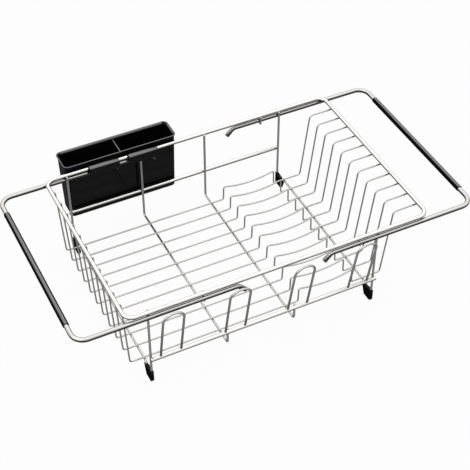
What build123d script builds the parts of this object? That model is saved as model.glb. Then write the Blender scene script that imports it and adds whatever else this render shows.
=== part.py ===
from build123d import *

import os
from math import atan2, cos, hypot, pi, radians, sin, tan

# Dish rack that stretches across a sink: a welded wire basket, two arms that slide
# out over the sink's edges, and a utensil holder hooked over the back of the rim.
# Sizes are in millimetres. X runs from side to side, Y from front to back, and Z up.
# The pieces are laid out from the middle of the basket, with zero height at the
# underside of the feet, and moved at the end to the middle of the whole rack.

# Wire and gaps
heavy_wire = 4.5
arm_wire = 5.4
bar_wire = 2.6
thin_wire = 1.8
weld_gap = 0.05
slide_gap = 0.3
arm_side_gap = 0.35
wire_end_rise = 0.6

# Rim
rim_length = 356.0
rim_width = 235.2
rim_corner_radius = 11.0
rim_rise = 91.0

# Floor wires
floor_height = 19.0
floor_wire_count = 11
floor_edge_margin = 22.55
left_side_lean = 4.8
floor_bend_radius = 3.6
hump_width = 68.6
hump_height = 19.75
hump_side_lean = 0.4
hump_bend_radius = 2.4
saddle_depth = 9.2
saddle_radius_share = 0.98
plate_slot_width = 36.8
divider_inset = 40.0
divider_lean = 10.4
divider_top_radius = 5.0
right_end_overlap = 0.8

# Cross bars
first_bar_inset = 24.6
last_bar_inset = 61.6
middle_bar_shares = (0.332, 0.633)
bar_bend_radius = 4.0
short_bar_rise = 1.5

# Side rails
front_rail_rise = 18.8
back_rail_rise = 34.3

# Feet
foot_sole = 1.2
foot_thickness = 3.8
foot_outer_wall = 0.5
foot_inner_wall = 0.6
foot_outer_height = 16.4
foot_inner_height = 13.4
foot_sole_radius = 3.0
foot_edge_radius = 0.6
foot_leg_reach = 10.0
foot_leg_lean = 5.0
foot_bend_radius = 3.4
foot_shoulder_radius = 2.6

# Cup loops
cup_loop_count = 4
cup_loop_spacing = 75.3
cup_loop_middle = -18.75
cup_leg_spacing = 23.5
cup_loop_rise = 93.0
cup_loop_lean = 11.0

# Arms and their guides
arm_drop = 6.3
left_reach = 232.7
right_reach = 236.7
arm_leg_overlap = 35.1
arm_corner_radius = 14.0
arm_tip_run = 8.4
arm_tip_drop = 8.8
arm_tip_radius = 6.0
guide_place = 92.3
guide_overlap = 1.1
guide_bend_radius = 1.6

# Grips
grip_length = 184.5
grip_wall = 0.7
grip_end_radius = 0.5

# Utensil holder
holder_middle = -84.35
holder_length = 136.7
holder_depth = 28.9
holder_height = 77.0
holder_side_draft = 2.0
holder_back_draft = 1.0
holder_corner_radius = 5.0
holder_edge_radius = 2.5
holder_wall = 1.4
holder_lip_gap = 1.05
holder_lip_height = 2.6
holder_lip_flare = 2.0
holder_lip_thickness = 1.9
holder_lip_edge = 0.7
holder_divider_drop = 2.0
hook_width = 36.0
hook_spacing = 48.0
hook_thickness = 1.8
hook_flap = 10.8
hook_bend_radius = 2.0
cut_overrun = 5.0

# Heights
rim_z = floor_height + rim_rise
bar_z = floor_height - thin_wire / 2 - bar_wire / 2 - weld_gap
front_rail_z = floor_height + front_rail_rise
back_rail_z = floor_height + back_rail_rise
arm_z = rim_z - arm_drop
foot_wire_z = foot_sole + weld_gap + bar_wire / 2

# Places of the upright wires, inside the rim and against its bars
rim_half_length = rim_length / 2
rim_half_width = rim_width / 2
rim_to_bar = heavy_wire / 2 + bar_wire / 2 + weld_gap
rim_to_thin = heavy_wire / 2 + thin_wire / 2 + weld_gap
bar_y = rim_half_width - rim_to_bar
rail_y = bar_y + rim_to_bar
arm_y = bar_y + bar_wire / 2 + arm_side_gap + arm_wire / 2
wire_end_z = rim_z + wire_end_rise

os.makedirs("parts", exist_ok=True)
pieces = {}


def round_wire(path, diameter):
    """Solid round wire along a path."""
    section = Plane(origin=path @ 0, z_dir=path % 0) * Circle(diameter / 2)
    return sweep(section, path=path)


def bent_wire(points, radii, diameter):
    """Round wire through points, with a bend of its own radius at each corner."""
    return round_wire(FilletPolyline(*points, radius=radii), diameter)


def spread(count, pitch):
    """Places of a row of equal pitch about zero."""
    return [(number - (count - 1) / 2) * pitch for number in range(count)]


# Rim
def make_rim():
    corners = [
        (-rim_half_length, -rim_half_width, rim_z),
        (rim_half_length, -rim_half_width, rim_z),
        (rim_half_length, rim_half_width, rim_z),
        (-rim_half_length, rim_half_width, rim_z),
    ]
    path = FilletPolyline(*corners, radius=rim_corner_radius, close=True)
    return round_wire(path, heavy_wire)


# Floor wires: up the left side, across the floor, over a saddle that carries round
# dishes, then up a leaning divider and out under the right bar of the rim
def floor_wire_profile():
    divider_x = rim_half_length - divider_inset
    hump_right = divider_x - plate_slot_width
    hump_left = hump_right - hump_width
    hump_top = floor_height + hump_height
    left_x = rim_to_thin - rim_half_length
    right_z = rim_z - rim_to_thin
    points = [
        (left_x, wire_end_z),
        (left_x + left_side_lean, floor_height),
        (hump_left, floor_height),
        (hump_left + hump_side_lean, hump_top),
        ((hump_left + hump_right) / 2, hump_top - saddle_depth),
        (hump_right - hump_side_lean, hump_top),
        (hump_right, floor_height),
        (divider_x, floor_height),
        (divider_x + divider_lean, right_z),
        (rim_half_length + right_end_overlap, right_z),
    ]
    half_saddle = hump_width / 2 - hump_side_lean
    saddle_slope = atan2(saddle_depth, half_saddle)
    shoulder_turn = pi / 2 + saddle_slope
    shoulder_run = hump_bend_radius * tan(shoulder_turn / 2)
    saddle_run = hypot(half_saddle, saddle_depth) - shoulder_run
    saddle_radius = saddle_radius_share * saddle_run / tan(saddle_slope)
    radii = [
        floor_bend_radius,
        hump_bend_radius,
        hump_bend_radius,
        saddle_radius,
        hump_bend_radius,
        hump_bend_radius,
        floor_bend_radius,
        divider_top_radius,
    ]
    return points, radii


def make_floor_wires():
    pitch = (rim_width - 2 * floor_edge_margin) / (floor_wire_count - 1)
    profile, radii = floor_wire_profile()
    wires = {}
    for number, y in enumerate(spread(floor_wire_count, pitch), start=1):
        points = [(x, y, z) for x, z in profile]
        wires[f"floor_wire_{number:02d}"] = bent_wire(points, radii, thin_wire)
    return wires


# Cross bars: under the floor wires and up to the rim, the outer two with a loop of
# wire at each end for a foot, the middle two ending behind the front rail
def bar_places():
    first = first_bar_inset - rim_half_length
    last = rim_half_length - last_bar_inset
    middle = [first + share * (last - first) for share in middle_bar_shares]
    return [first, *middle, last]


def foot_side(x, side):
    """Points of an outer bar from the rim down through a foot to the floor run."""
    leg_y = bar_y - foot_leg_reach
    return [
        (x, side * bar_y, wire_end_z),
        (x, side * bar_y, foot_wire_z),
        (x, side * leg_y, foot_wire_z),
        (x, side * (leg_y - foot_leg_lean), bar_z),
    ]


def outer_bar_path(x):
    points = foot_side(x, -1) + foot_side(x, 1)[::-1]
    foot_radii = [foot_bend_radius, foot_bend_radius, foot_shoulder_radius]
    return FilletPolyline(*points, radius=foot_radii + foot_radii[::-1])


def make_middle_bar(x):
    points = [
        (x, -bar_y, front_rail_z + short_bar_rise),
        (x, -bar_y, bar_z),
        (x, bar_y, bar_z),
        (x, bar_y, wire_end_z),
    ]
    return bent_wire(points, [bar_bend_radius, bar_bend_radius], bar_wire)


def make_cross_bars():
    first, second, third, fourth = bar_places()
    return {
        "cross_bar_1": round_wire(outer_bar_path(first), bar_wire),
        "cross_bar_2": make_middle_bar(second),
        "cross_bar_3": make_middle_bar(third),
        "cross_bar_4": round_wire(outer_bar_path(fourth), bar_wire),
    }


# Feet: a soft boot over each foot loop, flat underneath
def make_foot(x, side):
    outer_y = bar_y + bar_wire / 2 + foot_outer_wall
    leg_y = bar_y - foot_leg_reach
    wall = bar_wire / 2 + foot_inner_wall
    outline = [
        (outer_y, 0),
        (outer_y, foot_outer_height),
        (leg_y - foot_leg_lean - wall, foot_inner_height),
        (leg_y - wall, 0),
    ]
    corners = [(x - foot_thickness / 2, side * y, z) for y, z in outline]
    face = Face(Wire.make_polygon([Vector(*corner) for corner in corners], close=True))
    boot = extrude(face, amount=foot_thickness, dir=(1, 0, 0))
    sole_edge = boot.edges().filter_by(Axis.X).group_by(Axis.Z)[0].sort_by(Axis.Y)
    outer_edge = sole_edge[-1] if side > 0 else sole_edge[0]
    boot = fillet(outer_edge, foot_sole_radius)
    upright = boot.edges().filter_by(Axis.X, reverse=True)
    rims = [edge for edge in upright if edge.bounding_box().max.Z > foot_edge_radius]
    boot = fillet(rims, foot_edge_radius)
    channel = round_wire(outer_bar_path(x), bar_wire + 2 * weld_gap)
    return boot - channel


def make_feet():
    places = bar_places()
    feet = {}
    for column, x in (("left", places[0]), ("right", places[-1])):
        for row, side in (("front", -1), ("back", 1)):
            feet[f"foot_{row}_{column}"] = make_foot(x, side)
    return feet


# Rails: along the front and back, outside the bars
def make_rail(side, z):
    places = bar_places()
    start = (places[0] - bar_wire / 2, side * rail_y, z)
    end = (places[-1] + bar_wire / 2, side * rail_y, z)
    return round_wire(Line(start, end), heavy_wire)


# Cup loops: hairpins that stand on the front rail and lean outwards
def make_cup_loops():
    lean = radians(cup_loop_lean)
    outward = -sin(lean)
    upward = cos(lean)
    foot = heavy_wire / 2 + weld_gap
    half = cup_leg_spacing / 2
    crown = (floor_height + cup_loop_rise - front_rail_z) / upward
    loops = {}
    for number, place in enumerate(spread(cup_loop_count, cup_loop_spacing), start=1):
        x = cup_loop_middle + place

        def point(across, along):
            y = -rail_y + outward * along
            return Vector(x + across, y, front_rail_z + upward * along)

        left = Line(point(-half, foot), point(-half, crown - half))
        top = ThreePointArc(
            point(-half, crown - half), point(0, crown), point(half, crown - half)
        )
        right = Line(point(half, crown - half), point(half, foot))
        path = Wire([left.edge(), top.edge(), right.edge()])
        loops[f"cup_loop_{number}"] = round_wire(path, bar_wire)
    return loops


# Arm guides: hooks on the inner side of the rim that carry the arms
def make_guides():
    guide_y = rim_half_width - rim_to_thin
    guide_z = arm_z - arm_wire / 2 - slide_gap - thin_wire / 2
    guides = {}
    for column, across in (("left", -1), ("right", 1)):
        for row, side in (("front", -1), ("back", 1)):
            points = [
                (across * guide_place, side * guide_y, wire_end_z),
                (across * guide_place, side * guide_y, guide_z),
                (across * guide_place, side * (arm_y + guide_overlap), guide_z),
            ]
            guide = bent_wire(points, [guide_bend_radius], thin_wire)
            guides[f"arm_guide_{row}_{column}"] = guide
    return guides


# Arms: a wide U of heavy wire with its two tips bent down
def make_arm(across, reach):
    leg_length = max(left_reach, right_reach) - guide_place + arm_leg_overlap
    bend_x = reach - leg_length
    half = [
        (bend_x - arm_tip_run, arm_y, arm_z - arm_tip_drop),
        (bend_x, arm_y, arm_z),
        (reach, arm_y, arm_z),
    ]
    front = [(across * x, -y, z) for x, y, z in half]
    back = [(across * x, y, z) for x, y, z in half]
    radii = [arm_tip_radius, arm_corner_radius, arm_corner_radius, arm_tip_radius]
    return bent_wire(front + back[::-1], radii, arm_wire)


def make_grip(across, reach):
    bore = arm_wire / 2 + weld_gap
    middle = Location((across * reach, 0, arm_z), (90, 0, 0))
    sleeve = Cylinder(bore + grip_wall, grip_length)
    ends = sleeve.edges().filter_by(GeomType.CIRCLE)
    sleeve = fillet(ends, grip_end_radius) - Cylinder(bore, grip_length + cut_overrun)
    return middle * sleeve


# Utensil holder: a tapered box outside the back of the rim, with a flared lip round
# its mouth, a divider and two hooks that lie over the rim. It is moulded in one, and
# its pieces meet face to face.
hook_z = rim_z + heavy_wire / 2 + slide_gap
hook_top_z = hook_z + hook_thickness
holder_lip_z = hook_top_z + holder_lip_gap
holder_top_z = holder_lip_z + holder_lip_height
holder_bottom_z = holder_top_z - holder_height
holder_front_y = arm_y + arm_wire / 2 + arm_side_gap
holder_back_y = holder_front_y + holder_depth


def holder_section(height, grow):
    """Outline of the holder's outside at a height, grown or drawn in by a wall."""
    drop_share = (holder_top_z - height) / holder_height
    length = holder_length - 2 * holder_side_draft * drop_share + 2 * grow
    front = holder_front_y - grow
    back = holder_back_y - holder_back_draft * drop_share + grow
    outline = RectangleRounded(length, back - front, holder_corner_radius + grow)
    return Location((holder_middle, (front + back) / 2, height)) * outline


def holder_block(bottom, top, grow, edge_radius):
    """Tapered block between two heights, rounded round its bottom."""
    block = loft([holder_section(bottom, grow), holder_section(top, grow)], ruled=True)
    return fillet(block.faces().sort_by(Axis.Z)[0].edges(), edge_radius)


def holder_cavity(top):
    """Space inside the holder's walls, up to a height."""
    inner_radius = holder_edge_radius - holder_wall
    return holder_block(holder_bottom_z + holder_wall, top, -holder_wall, inner_radius)


def make_holder_box():
    walls = holder_block(holder_bottom_z, holder_lip_z, 0, holder_edge_radius)
    return walls - holder_cavity(holder_top_z + cut_overrun)


def flared_block(grow, top_grow):
    """Block as high as the lip, wider at its top."""
    bottom = holder_section(holder_lip_z, grow)
    return loft([bottom, holder_section(holder_top_z, top_grow)], ruled=True)


def make_holder_lip():
    outside = flared_block(0, holder_lip_flare)
    outside = fillet(outside.faces().sort_by(Axis.Z)[-1].edges(), holder_lip_edge)
    return outside - flared_block(-holder_wall, holder_lip_flare - holder_lip_thickness)


def make_holder_divider():
    top = holder_top_z - holder_divider_drop
    slab = Box(holder_wall, 2 * holder_depth, 2 * (top - holder_bottom_z))
    return holder_cavity(top) & (Location((holder_middle, holder_front_y, top)) * slab)


def make_hook(place):
    """Strip from the holder's front wall over the rim and down inside it."""
    flap_outer = bar_y - bar_wire / 2 - slide_gap
    flap_inner = flap_outer - hook_thickness
    flap_z = hook_top_z - hook_flap
    x = holder_middle + place - hook_width / 2
    outline = [
        (holder_front_y, hook_z),
        (flap_outer, hook_z),
        (flap_outer, flap_z),
        (flap_inner, flap_z),
        (flap_inner, hook_top_z),
        (holder_front_y, hook_top_z),
    ]
    corners = [Vector(x, y, z) for y, z in outline]
    hook = extrude(Face(Wire.make_polygon(corners, close=True)), hook_width, dir=(1, 0, 0))
    across = hook.edges().filter_by(Axis.X)
    outer_corner = across.group_by(Axis.Y)[0].sort_by(Axis.Z)[-1]
    return fillet(outer_corner, min(hook_bend_radius, hook_thickness))


# Middle of the whole rack, between the two grips and from the cup loops to the lip
def rack_middle():
    middle_x = (right_reach - left_reach) / 2
    crown_drop = (floor_height + cup_loop_rise - front_rail_z) * tan(radians(cup_loop_lean))
    front = -rail_y - crown_drop - bar_wire / 2
    back = holder_back_y + holder_lip_flare
    return Location((-middle_x, -(front + back) / 2, 0))


pieces["rim"] = make_rim()
pieces.update(make_floor_wires())
pieces.update(make_cross_bars())
pieces["front_rail"] = make_rail(-1, front_rail_z)
pieces["back_rail"] = make_rail(1, back_rail_z)
pieces.update(make_feet())
pieces.update(make_cup_loops())
pieces.update(make_guides())
pieces["left_arm"] = make_arm(-1, left_reach)
pieces["left_grip"] = make_grip(-1, left_reach)
pieces["right_arm"] = make_arm(1, right_reach)
pieces["right_grip"] = make_grip(1, right_reach)
pieces["utensil_holder"] = make_holder_box()
pieces["holder_lip"] = make_holder_lip()
pieces["holder_divider"] = make_holder_divider()
for side, place in zip(("left", "right"), spread(2, hook_spacing)):
    pieces[f"holder_hook_{side}"] = make_hook(place)

shift = rack_middle()
for name, piece in pieces.items():
    export_step(shift * piece, f"parts/{name}.step")
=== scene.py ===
"""Looks of a wire dish rack that stretches over a sink.

The rack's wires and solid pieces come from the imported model. This file gives them their
finishes, adds the welds and the moulded rubber, and sets a small studio round the rack.
"""
import math

import bmesh
import bpy
from bpy.props import FloatProperty, FloatVectorProperty, IntProperty, PointerProperty
from mathutils import Matrix, Vector


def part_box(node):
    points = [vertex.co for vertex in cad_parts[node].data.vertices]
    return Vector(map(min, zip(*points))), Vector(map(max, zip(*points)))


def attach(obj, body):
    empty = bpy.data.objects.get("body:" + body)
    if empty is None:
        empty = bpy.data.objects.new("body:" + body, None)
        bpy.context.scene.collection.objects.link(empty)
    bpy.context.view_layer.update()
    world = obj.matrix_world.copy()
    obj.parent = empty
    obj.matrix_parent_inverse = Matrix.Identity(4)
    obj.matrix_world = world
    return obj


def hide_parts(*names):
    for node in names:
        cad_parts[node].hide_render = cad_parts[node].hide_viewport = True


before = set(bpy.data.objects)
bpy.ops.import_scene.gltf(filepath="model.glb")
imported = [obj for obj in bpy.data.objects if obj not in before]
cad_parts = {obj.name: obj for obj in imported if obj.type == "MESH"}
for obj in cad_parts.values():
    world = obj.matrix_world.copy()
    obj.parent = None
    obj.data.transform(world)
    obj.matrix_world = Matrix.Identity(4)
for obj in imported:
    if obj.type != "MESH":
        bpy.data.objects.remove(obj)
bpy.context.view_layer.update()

bl_info = {
    "name": "Dish rack looks",
    "version": (1, 0, 0),
    "blender": (4, 5, 0),
    "location": "View3D > Sidebar > Dish rack",
    "description": "Finishes, welds, rubber pieces and studio for a wire dish rack",
    "category": "Object",
}

MM = 0.001
JOIN_DISTANCE = 0.001 * MM
FLAT_TURN = math.radians(0.2)
CREASE_TURN = math.radians(40)
SHARP_TURN = math.radians(60)

# Grain of the finishes: how far the gloss varies, as a share of itself, how often the fine
# and the slow noise repeat per metre, and how strongly a relief of one height shows
GRAIN_HEIGHT = 0.1 * MM
STEEL_GRAIN = {"spread": 0.35, "grain_scale": 1400.0, "patch_scale": 35.0, "bump": 0.03}
GRIP_GRAIN = {"spread": 0.25, "grain_scale": 2200.0, "patch_scale": 40.0, "bump": 0.15}
FOOT_GRAIN = {"spread": 0.25, "grain_scale": 2200.0, "patch_scale": 40.0, "bump": 0.2}
PLASTIC_GRAIN = {"spread": 0.25, "grain_scale": 1800.0, "patch_scale": 40.0, "bump": 0.08}

# Where each steel's painted shade leaves its side value and where it reaches its upper value, as
# the upward part of the surface's normal, and the painted upper shades of the heavy wire and the
# arms
HEAVY_TURN = {"Side to": -0.2, "Up from": 0.9}
THIN_TURN = {"Side to": 0.2, "Up from": 0.55}
WELD_TURN = {"Side to": 0.1, "Up from": 0.6}
ARM_TURN = {"Side to": 0.35, "Up from": 0.8}
HEAVY_SHADE = 1.0
ARM_SHADE = 0.7

# How the black finishes turn greyer, by a painted highlight, and glossier where they face up, in
# the same way
GRIP_FACING = {"Up from": 0.985, "Side to": 0.82, "Above": 1.0, "Side": 0.0, "Below": 0.0}
FOOT_FACING = {"Up from": 0.9, "Side to": 0.4, "Above": 0.4, "Side": 0.0, "Below": 0.0}
PLASTIC_FACING = {"Up from": 0.8, "Side to": 0.5, "Above": 1.0, "Side": 0.05, "Below": 0.03}

# Gloss of the black finishes: roughness, and roughness and refraction of their skin
GRIP_GLOSS = (0.6, 0.3, 2.4)
FOOT_GLOSS = (0.7, 0.45, 1.5)
PLASTIC_GLOSS = (0.5, 0.12, 2.2)

# The front rail's gauge over the distance from a cup loop's side to the middle of its leg
LEG_INSETS_PER_RAIL = 3

# Lamps: name, place and size in metres, and power in watts
LAMPS = (
    ("Top lamp", (0.2, 0.5, 2.2), 4.0, 20.0),
    ("Left lamp", (-1.8, -0.6, 1.5), 2.4, 10.0),
)
SENSOR_WIDTH = 36.0
FLOOR_HALF_SIZE = 6.0
FLOOR_WHITE = 0.95

FLOOR_WIRES = sorted(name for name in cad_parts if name.startswith("floor_wire_"))
CROSS_BARS = sorted(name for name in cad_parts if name.startswith("cross_bar_"))
CUP_LOOPS = sorted(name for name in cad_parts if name.startswith("cup_loop_"))
GUIDES = sorted(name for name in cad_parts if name.startswith("arm_guide_"))
FEET = sorted(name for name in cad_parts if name.startswith("foot_"))
HOLDER = ["utensil_holder", "holder_lip", "holder_divider", "holder_hook_left", "holder_hook_right"]
FRAME_WIRES = ["rim", "front_rail", "back_rail"]
ARMS = ["left_arm", "right_arm"]
GRIPS = ["left_grip", "right_grip"]


class RackFinish(bpy.types.PropertyGroup):
    """Colours and gloss of the rack's materials."""

    steel_colour: FloatVectorProperty(
        name="Steel", description="Colour of the polished wire where it faces up",
        subtype="COLOR", min=0, max=1, default=(0.885, 0.87, 0.84))
    # The shades below are painted shade: shares of the steel's colour set by the way each face
    # turns.
    steel_side_shade: FloatProperty(
        name="Steel side shade", description="Share of the steel's colour left on upright faces",
        subtype="FACTOR", min=0, max=1, default=0.05)
    steel_under_shade: FloatProperty(
        name="Steel under shade", description="Share of the steel's colour left on its undersides",
        subtype="FACTOR", min=0, max=1, default=0.03)
    # The thinner wires take a darker painted-shade copy of the same steel.
    thin_wire_shade: FloatProperty(
        name="Thin wire shade",
        description="Share of the steel's colour that the thinner wires show from above",
        subtype="FACTOR", min=0, max=1, default=0.66)
    thin_wire_side_shade: FloatProperty(
        name="Thin wire side shade",
        description="Share of the steel's colour left on upright faces of thin wires",
        subtype="FACTOR", min=0, max=1, default=0.25)
    steel_edge_tint: FloatProperty(
        name="Steel edge tint",
        description="How bright the wire stays where it turns away from the eye",
        subtype="FACTOR", min=0, max=1, default=0.3)
    steel_roughness: FloatProperty(
        name="Steel roughness", description="Gloss of the polished wire, lower is shinier",
        subtype="FACTOR", min=0, max=1, default=0.14)
    rubber_colour: FloatVectorProperty(
        name="Rubber", description="Colour of the grips and feet",
        subtype="COLOR", min=0, max=1, default=(0.006, 0.006, 0.0065))
    # Painted highlight: grey put into the rubber's colour where it faces up.
    rubber_painted_highlight: FloatVectorProperty(
        name="Rubber painted highlight", description="Painted highlight, the grey the rubber turns where it faces up",
        subtype="COLOR", min=0, max=1, default=(0.02, 0.02, 0.021))
    plastic_colour: FloatVectorProperty(
        name="Plastic", description="Colour of the utensil holder",
        subtype="COLOR", min=0, max=1, default=(0.004, 0.004, 0.0042))
    floor_colour: FloatVectorProperty(
        name="Floor", description="Colour of the studio floor",
        subtype="COLOR", min=0, max=1, default=(0.95, 0.95, 0.95))


class RackDetail(bpy.types.PropertyGroup):
    """Sizes of the small pieces that the looks add."""

    weld_length: FloatProperty(
        name="Weld length", description="Half length of a weld where two wires cross",
        unit="LENGTH", min=0, default=1.25 * MM)
    weld_height: FloatProperty(
        name="Weld height", description="Half height of a weld, across the joint",
        unit="LENGTH", min=0, default=0.55 * MM)
    weld_segments: IntProperty(
        name="Weld segments", description="Facets round each weld", min=6, max=32, default=12)
    wire_end_round: FloatProperty(
        name="Wire end rounding", description="Width of the rounding at the cut ends of wires",
        unit="LENGTH", min=0, default=0.3 * MM)
    moulded_edge_round: FloatProperty(
        name="Moulded edge rounding",
        description="Width of the rounding on the holder's sharp edges",
        unit="LENGTH", min=0, default=0.3 * MM)


class RackStudio(bpy.types.PropertyGroup):
    """The camera's place and the light of the studio."""

    camera_azimuth: FloatProperty(
        name="Azimuth", description="Turn of the camera from the front",
        subtype="ANGLE", default=math.radians(-26.295))
    camera_elevation: FloatProperty(
        name="Elevation", description="Height of the camera above the horizon",
        subtype="ANGLE", default=math.radians(43.411))
    camera_distance: FloatProperty(
        name="Distance", description="From the camera to what it looks at",
        unit="LENGTH", min=0, default=1448.4 * MM)
    camera_lens: FloatProperty(
        name="Lens", description="Focal length on a 36 mm sensor, in millimetres",
        min=10, max=300, default=94.11)
    camera_target: FloatVectorProperty(
        name="Target", description="Point that the camera looks at",
        subtype="TRANSLATION", unit="LENGTH", default=(15.12 * MM, 22.52 * MM, 19.0 * MM))
    world_strength: FloatProperty(
        name="Surroundings", description="Strength of the pale surroundings",
        min=0, max=4, default=0.45)
    lamp_strength: FloatProperty(
        name="Lamps", description="Share of the lamps' normal power", min=0, max=4, default=1.0)


class RackSettings(bpy.types.PropertyGroup):
    """All settings of the dish rack's looks."""

    finish: PointerProperty(type=RackFinish)
    detail: PointerProperty(type=RackDetail)
    studio: PointerProperty(type=RackStudio)


def opaque(colour):
    return (*colour, 1.0)


def wire_middle(node):
    """Middle of a CAD node's box."""
    low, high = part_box(node)
    return (low + high) / 2


def new_object(name, mesh, material, body):
    piece = bpy.data.objects.new(name, mesh)
    bpy.context.scene.collection.objects.link(piece)
    mesh.materials.append(material)
    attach(piece, body)
    return piece


def joined_shape(node):
    """Copy of a CAD node's surface, with its loose triangles joined."""
    shape = bmesh.new()
    shape.from_mesh(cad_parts[node].data)
    bmesh.ops.remove_doubles(shape, verts=shape.verts, dist=JOIN_DISTANCE)
    return shape


def round_sharp_edges(shape, width):
    """Rounds the edges of a shape that turn sharply."""
    bmesh.ops.dissolve_limit(
        shape, angle_limit=FLAT_TURN, verts=shape.verts, edges=shape.edges)
    sharp = [edge for edge in shape.edges
             if edge.is_manifold and edge.calc_face_angle() > SHARP_TURN]
    bmesh.ops.bevel(
        shape, geom=sharp, offset=width, offset_type="OFFSET", segments=2,
        profile=0.5, affect="EDGES", material=-1, clamp_overlap=True)


def finish_nodes(nodes, material, body, edge_round=0):
    """Puts a smooth piece with a finish in the place of each CAD node."""
    for node in nodes:
        shape = joined_shape(node)
        if edge_round:
            round_sharp_edges(shape, edge_round)
        mesh = bpy.data.meshes.new(f"{node}_finish")
        shape.to_mesh(mesh)
        shape.free()
        mesh.shade_smooth()
        mesh.set_sharp_from_angle(angle=CREASE_TURN)
        piece = new_object(f"{node}_finish", mesh, material, body)
        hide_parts(node)


def fine_grain_group():
    """Grain that several finishes share: a fine noise over a slow one, as height and mask."""
    if "Fine grain" in bpy.data.node_groups:
        return bpy.data.node_groups["Fine grain"]
    group = bpy.data.node_groups.new("Fine grain", "ShaderNodeTree")
    face = group.interface
    for name, default in (("Grain scale", 900.0), ("Patch scale", 20.0), ("Detail", 3.0)):
        socket = face.new_socket(name=name, in_out="INPUT", socket_type="NodeSocketFloat")
        socket.default_value = default
    for name in ("Height", "Patches"):
        face.new_socket(name=name, in_out="OUTPUT", socket_type="NodeSocketFloat")
    nodes, links = group.nodes, group.links
    entry = nodes.new("NodeGroupInput")
    leave = nodes.new("NodeGroupOutput")
    place = nodes.new("ShaderNodeTexCoord")
    grain = nodes.new("ShaderNodeTexNoise")
    patch = nodes.new("ShaderNodeTexNoise")
    for noise, scale in ((grain, "Grain scale"), (patch, "Patch scale")):
        links.new(place.outputs["Object"], noise.inputs["Vector"])
        links.new(entry.outputs[scale], noise.inputs["Scale"])
        links.new(entry.outputs["Detail"], noise.inputs["Detail"])
    links.new(grain.outputs["Fac"], leave.inputs["Height"])
    links.new(patch.outputs["Fac"], leave.inputs["Patches"])
    return group


def facing_group():
    """Mask with one value on faces that look up, one on upright faces and one on undersides."""
    if "Facing" in bpy.data.node_groups:
        return bpy.data.node_groups["Facing"]
    group = bpy.data.node_groups.new("Facing", "ShaderNodeTree")
    face = group.interface
    values = {"Up from": 0.3, "Side to": 0.0, "Side from": -0.3, "Down from": -0.8,
              "Above": 1.0, "Side": 0.5, "Below": 0.0}
    for name, default in values.items():
        socket = face.new_socket(name=name, in_out="INPUT", socket_type="NodeSocketFloat")
        socket.default_value = default
    face.new_socket(name="Mask", in_out="OUTPUT", socket_type="NodeSocketFloat")
    nodes, links = group.nodes, group.links
    entry = nodes.new("NodeGroupInput")
    leave = nodes.new("NodeGroupOutput")
    place = nodes.new("ShaderNodeTexCoord")
    split = nodes.new("ShaderNodeSeparateXYZ")
    links.new(place.outputs["Normal"], split.inputs["Vector"])
    upper = nodes.new("ShaderNodeMapRange")
    lower = nodes.new("ShaderNodeMapRange")
    for ramp, low, high in ((upper, "Side to", "Up from"), (lower, "Down from", "Side from")):
        ramp.interpolation_type = "SMOOTHSTEP"
        links.new(split.outputs["Z"], ramp.inputs["Value"])
        links.new(entry.outputs[low], ramp.inputs["From Min"])
        links.new(entry.outputs[high], ramp.inputs["From Max"])
    links.new(entry.outputs["Below"], lower.inputs["To Min"])
    links.new(entry.outputs["Side"], lower.inputs["To Max"])
    links.new(lower.outputs["Result"], upper.inputs["To Min"])
    links.new(entry.outputs["Above"], upper.inputs["To Max"])
    links.new(upper.outputs["Result"], leave.inputs["Mask"])
    return group


def add_group(material, group, values):
    """Places a shader node group in a material with its own values."""
    node = material.node_tree.nodes.new("ShaderNodeGroup")
    node.node_tree = group
    for name, value in values.items():
        node.inputs[name].default_value = value
    return node


def blend_colours(material, mask, first, second):
    """Colour that goes from the first to the second as the mask goes from 0 to 1."""
    mix = material.node_tree.nodes.new("ShaderNodeMix")
    mix.data_type = "RGBA"
    mix.inputs["A"].default_value = opaque(first)
    mix.inputs["B"].default_value = opaque(second)
    material.node_tree.links.new(mask, mix.inputs["Factor"])
    return mix.outputs["Result"]


def grained_material(name, roughness, spread, grain_scale, patch_scale, bump):
    """Principled material whose gloss and surface vary a little with the shared grain."""
    material = bpy.data.materials.new(name)
    material.use_nodes = True
    nodes, links = material.node_tree.nodes, material.node_tree.links
    shader = nodes["Principled BSDF"]
    scales = {"Grain scale": grain_scale, "Patch scale": patch_scale}
    grain = add_group(material, fine_grain_group(), scales)
    gloss = nodes.new("ShaderNodeMapRange")
    gloss.inputs["To Min"].default_value = roughness * (1 - spread)
    gloss.inputs["To Max"].default_value = roughness * (1 + spread)
    links.new(grain.outputs["Patches"], gloss.inputs["Value"])
    links.new(gloss.outputs["Result"], shader.inputs["Roughness"])
    relief = nodes.new("ShaderNodeBump")
    relief.inputs["Strength"].default_value = bump
    relief.inputs["Distance"].default_value = GRAIN_HEIGHT
    links.new(grain.outputs["Height"], relief.inputs["Height"])
    links.new(relief.outputs["Normal"], shader.inputs["Normal"])
    return material


def steel_material(name, finish, above, side, turn):
    """Polished wire with a painted reflection and painted shade in its colour: pale above, dark on
    upright faces and darker below.
    """
    material = grained_material(name, finish.steel_roughness, **STEEL_GRAIN)
    shader = material.node_tree.nodes["Principled BSDF"]
    shader.inputs["Metallic"].default_value = 1.0
    shader.inputs["Specular Tint"].default_value = opaque([finish.steel_edge_tint] * 3)
    shades = {"Above": above, "Side": side, "Below": finish.steel_under_shade}
    facing = add_group(material, facing_group(), {**turn, **shades})
    # Painted shade: the steel's colour is scaled by how far each face turns up, pale on top and
    # dark on the sides and below.
    colour = blend_colours(material, facing.outputs["Mask"], (0, 0, 0), finish.steel_colour)
    material.node_tree.links.new(colour, shader.inputs["Base Color"])
    return material


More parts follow.
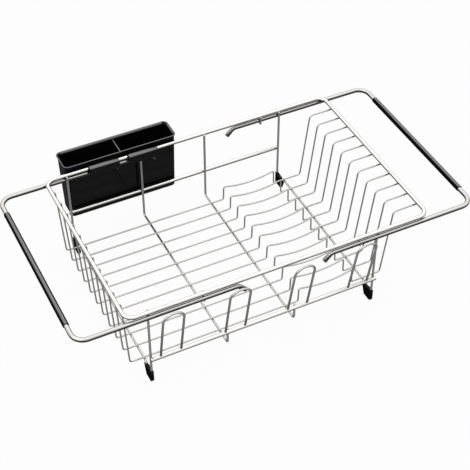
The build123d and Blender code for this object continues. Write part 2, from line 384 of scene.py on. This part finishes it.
def black_material(name, colour, painted_highlight, facing_values, gloss, grain):
    """Black rubber or plastic, glossier where it faces up and greyer there by a painted highlight.
    """
    roughness, coat_roughness, coat_refraction = gloss
    material = grained_material(name, roughness, **grain)
    shader = material.node_tree.nodes["Principled BSDF"]
    shader.inputs["Specular IOR Level"].default_value = 0.0
    shader.inputs["Coat Roughness"].default_value = coat_roughness
    shader.inputs["Coat IOR"].default_value = coat_refraction
    facing = add_group(material, facing_group(), facing_values)
    # Painted highlight: the colour turns from black to the highlight grey where the face turns up.
    shade = blend_colours(material, facing.outputs["Mask"], colour, painted_highlight)
    material.node_tree.links.new(shade, shader.inputs["Base Color"])
    material.node_tree.links.new(facing.outputs["Mask"], shader.inputs["Coat Weight"])
    return material


class DISHRACK_OT_wires(bpy.types.Operator):
    """Finish the basket's rim, rails, floor wires, cross bars and cup loops"""

    bl_idname = "dishrack.wires"
    bl_label = "Polish the basket"

    def execute(self, context):
        settings = context.scene.dish_rack
        finish = settings.finish
        heavy = steel_material(
            "Heavy steel", finish, HEAVY_SHADE, finish.steel_side_shade, HEAVY_TURN)
        thin = steel_material(
            "Thin steel", finish, finish.thin_wire_shade, finish.thin_wire_side_shade, THIN_TURN)
        rounding = settings.detail.wire_end_round
        finish_nodes(FRAME_WIRES, heavy, "basket", rounding)
        finish_nodes(CROSS_BARS + CUP_LOOPS, thin, "basket", rounding)
        finish_nodes(FLOOR_WIRES + GUIDES, thin, "basket", rounding)
        return {"FINISHED"}


class DISHRACK_OT_arms(bpy.types.Operator):
    """Finish the two sliding arms and their rubber grips"""

    bl_idname = "dishrack.arms"
    bl_label = "Finish the arms"

    def execute(self, context):
        settings = context.scene.dish_rack
        finish = settings.finish
        steel = steel_material("Arm steel", finish, ARM_SHADE, finish.steel_side_shade, ARM_TURN)
        rubber = black_material("Grip rubber", finish.rubber_colour, finish.rubber_painted_highlight,
                                GRIP_FACING, GRIP_GLOSS, GRIP_GRAIN)
        for arm, grip in zip(ARMS, GRIPS):
            finish_nodes([arm], steel, arm, settings.detail.wire_end_round)
            finish_nodes([grip], rubber, arm)
        return {"FINISHED"}


def add_weld(mesh, place, across, detail):
    """One small lens of metal at a place, flat across the joint."""
    turn = Vector((0, 0, 1)).rotation_difference(Vector(across)).to_matrix().to_4x4()
    shape = Matrix.Diagonal((detail.weld_length, detail.weld_length, detail.weld_height, 1))
    bmesh.ops.create_uvsphere(
        mesh, u_segments=detail.weld_segments, v_segments=detail.weld_segments // 2,
        radius=1.0, matrix=Matrix.Translation(place) @ turn @ shape)


def floor_weld_places():
    for bar in CROSS_BARS:
        for wire in FLOOR_WIRES:
            low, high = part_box(wire)
            yield Vector((wire_middle(bar).x, (low.y + high.y) / 2, low.z)), (0, 0, 1)


def rim_weld_places():
    low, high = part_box("rim")
    middle = wire_middle("rim")
    heavy = high.z - low.z
    for wire in FLOOR_WIRES:
        y = wire_middle(wire).y
        yield Vector((low.x + heavy, y, middle.z)), (1, 0, 0)
        yield Vector((high.x - heavy / 2, y, low.z)), (0, 0, 1)
    for bar in CROSS_BARS:
        bar_low, bar_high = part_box(bar)
        x = wire_middle(bar).x
        yield Vector((x, high.y - heavy, middle.z)), (0, 1, 0)
        if wire_middle(bar).z < wire_middle(CROSS_BARS[1]).z:
            yield Vector((x, low.y + heavy, middle.z)), (0, 1, 0)
    for guide in GUIDES:
        place = wire_middle(guide)
        side = high.y - heavy if place.y > middle.y else low.y + heavy
        yield Vector((place.x, side, middle.z)), (0, 1, 0)


def rail_weld_places():
    for rail, inner in (("front_rail", 1), ("back_rail", -1)):
        low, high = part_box(rail)
        middle = (low + high) / 2
        radius = (high.z - low.z) / 2
        for bar in CROSS_BARS:
            yield Vector((wire_middle(bar).x, middle.y + inner * radius, middle.z)), (0, 1, 0)
    low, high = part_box("front_rail")
    for loop in CUP_LOOPS:
        loop_low, loop_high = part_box(loop)
        inset = (high.z - low.z) / LEG_INSETS_PER_RAIL
        for x in (loop_low.x + inset, loop_high.x - inset):
            yield Vector((x, (low.y + high.y) / 2, high.z)), (0, 0, 1)


class DISHRACK_OT_welds(bpy.types.Operator):
    """Add the small welds where wires meet"""

    bl_idname = "dishrack.welds"
    bl_label = "Add the welds"

    def execute(self, context):
        detail = context.scene.dish_rack.detail
        finish = context.scene.dish_rack.finish
        steel = steel_material(
            "Weld steel", finish, finish.thin_wire_shade, finish.thin_wire_side_shade, WELD_TURN)
        groups = (("floor_welds", floor_weld_places, "thin_wire"),
                  ("rim_welds", rim_weld_places, "thin_wire"),
                  ("rail_welds", rail_weld_places, "bar_wire"))
        for name, places, slot in groups:
            shape = bmesh.new()
            for place, across in places():
                add_weld(shape, place, across, detail)
            mesh = bpy.data.meshes.new(name)
            shape.to_mesh(mesh)
            shape.free()
            mesh.shade_smooth()
            new_object(name, mesh, steel, "basket")
        return {"FINISHED"}


class DISHRACK_OT_feet(bpy.types.Operator):
    """Finish the four rubber boots under the basket"""

    bl_idname = "dishrack.feet"
    bl_label = "Finish the feet"

    def execute(self, context):
        finish = context.scene.dish_rack.finish
        rubber = black_material("Foot rubber", finish.rubber_colour, finish.rubber_painted_highlight,
                                FOOT_FACING, FOOT_GLOSS, FOOT_GRAIN)
        finish_nodes(FEET, rubber, "basket")
        return {"FINISHED"}


class DISHRACK_OT_holder(bpy.types.Operator):
    """Finish the utensil holder's moulded plastic"""

    bl_idname = "dishrack.holder"
    bl_label = "Finish the holder"

    def execute(self, context):
        settings = context.scene.dish_rack
        colour = settings.finish.plastic_colour
        plastic = black_material(
            "Moulded plastic", colour, colour, PLASTIC_FACING, PLASTIC_GLOSS, PLASTIC_GRAIN)
        finish_nodes(HOLDER[:2], plastic, "utensil_holder")
        finish_nodes(HOLDER[2:], plastic, "utensil_holder",
                     settings.detail.moulded_edge_round)
        return {"FINISHED"}


def seen_by_lens(tree):
    """1 for the rays of the lens, of reflections and through clear things, and 0 for light."""
    nodes, links = tree.nodes, tree.links
    path = nodes.new("ShaderNodeLightPath")
    seen = path.outputs["Is Camera Ray"]
    for name in ("Is Glossy Ray", "Is Transmission Ray"):
        either = nodes.new("ShaderNodeMath")
        either.operation = "MAXIMUM"
        links.new(seen, either.inputs[0])
        links.new(path.outputs[name], either.inputs[1])
        seen = either.outputs["Value"]
    return seen


def white_to_lens(tree, shader_output, strength):
    """Adds plain white for what the lens and reflections see of the studio."""
    nodes, links = tree.nodes, tree.links
    amount = nodes.new("ShaderNodeMath")
    amount.operation = "MULTIPLY"
    amount.inputs[1].default_value = strength
    links.new(seen_by_lens(tree), amount.inputs[0])
    white = nodes.new("ShaderNodeEmission")
    mix = nodes.new("ShaderNodeMixShader")
    links.new(amount.outputs["Value"], mix.inputs["Fac"])
    links.new(shader_output, mix.inputs[1])
    links.new(white.outputs["Emission"], mix.inputs[2])
    return mix.outputs["Shader"]


def make_floor(finish):
    shape = bmesh.new()
    bmesh.ops.create_grid(shape, x_segments=1, y_segments=1, size=FLOOR_HALF_SIZE)
    mesh = bpy.data.meshes.new("studio_floor")
    shape.to_mesh(mesh)
    shape.free()
    material = bpy.data.materials.new("Studio floor")
    material.use_nodes = True
    tree = material.node_tree
    shader = tree.nodes["Principled BSDF"]
    shader.inputs["Base Color"].default_value = opaque(finish.floor_colour)
    shader.inputs["Roughness"].default_value = 1.0
    shader.inputs["Specular IOR Level"].default_value = 0.0
    seen = white_to_lens(tree, shader.outputs["BSDF"], FLOOR_WHITE)
    tree.links.new(seen, tree.nodes["Material Output"].inputs["Surface"])
    mesh.materials.append(material)
    floor = bpy.data.objects.new("studio_floor", mesh)
    bpy.context.scene.collection.objects.link(floor)


def make_world(studio):
    world = bpy.data.worlds.new("Studio surroundings")
    bpy.context.scene.world = world
    world.use_nodes = True
    tree = world.node_tree
    plain = tree.nodes["Background"]
    plain.inputs["Color"].default_value = (1, 1, 1, 1)
    level = tree.nodes.new("ShaderNodeMapRange")
    level.inputs["To Min"].default_value = studio.world_strength
    level.inputs["To Max"].default_value = 1.0
    tree.links.new(seen_by_lens(tree), level.inputs["Value"])
    tree.links.new(level.outputs["Result"], plain.inputs["Strength"])


def add_lamp(name, place, size, power):
    """Soft square lamp at a place, turned towards the origin."""
    light = bpy.data.lights.new(name, "AREA")
    light.shape = "SQUARE"
    light.size = size
    light.energy = power
    lamp = bpy.data.objects.new(name, light)
    bpy.context.scene.collection.objects.link(lamp)
    lamp.location = place
    lamp.rotation_mode = "QUATERNION"
    lamp.rotation_quaternion = (-Vector(place)).to_track_quat("-Z", "Y")


def make_camera(studio):
    """Camera on a sphere round the target, with the photograph's lens."""
    turn, rise = studio.camera_azimuth, studio.camera_elevation
    level = math.cos(rise)
    back = Vector((math.sin(turn) * level, -math.cos(turn) * level, math.sin(rise)))
    data = bpy.data.cameras.new("Camera")
    data.sensor_width = SENSOR_WIDTH
    data.lens = studio.camera_lens
    camera = bpy.data.objects.new("Camera", data)
    bpy.context.scene.collection.objects.link(camera)
    camera.location = Vector(studio.camera_target) + back * studio.camera_distance
    camera.rotation_mode = "QUATERNION"
    camera.rotation_quaternion = (-back).to_track_quat("-Z", "Y")
    bpy.context.scene.camera = camera


class DISHRACK_OT_stage(bpy.types.Operator):
    """Set the pale floor, the soft lamps and the camera"""

    bl_idname = "dishrack.stage"
    bl_label = "Set the studio"

    def execute(self, context):
        settings = context.scene.dish_rack
        studio = settings.studio
        make_floor(settings.finish)
        make_world(studio)
        for name, place, size, power in LAMPS:
            add_lamp(name, place, size, power * studio.lamp_strength)
        make_camera(studio)
        context.scene.view_settings.view_transform = "Standard"
        return {"FINISHED"}


class DISHRACK_PT_looks(bpy.types.Panel):
    """Sidebar panel with the rack's looks"""

    bl_label = "Dish rack"
    bl_idname = "DISHRACK_PT_looks"
    bl_space_type = "VIEW_3D"
    bl_region_type = "UI"
    bl_category = "Dish rack"

    def draw(self, context):
        settings = context.scene.dish_rack
        for group in (settings.finish, settings.detail, settings.studio):
            box = self.layout.box()
            for name in group.__annotations__:
                box.prop(group, name)
        for operator in OPERATORS:
            self.layout.operator(operator.bl_idname)


OPERATORS = (
    DISHRACK_OT_wires,
    DISHRACK_OT_arms,
    DISHRACK_OT_welds,
    DISHRACK_OT_feet,
    DISHRACK_OT_holder,
    DISHRACK_OT_stage,
)
CLASSES = (RackFinish, RackDetail, RackStudio, RackSettings, *OPERATORS, DISHRACK_PT_looks)


def register():
    for cls in CLASSES:
        bpy.utils.register_class(cls)
    bpy.types.Scene.dish_rack = PointerProperty(type=RackSettings)


def unregister():
    del bpy.types.Scene.dish_rack
    for cls in reversed(CLASSES):
        bpy.utils.unregister_class(cls)


def main():
    register()
    bpy.ops.dishrack.wires()
    bpy.ops.dishrack.arms()
    bpy.ops.dishrack.welds()
    bpy.ops.dishrack.feet()
    bpy.ops.dishrack.holder()
    bpy.ops.dishrack.stage()


if __name__ == "__main__":
    main()
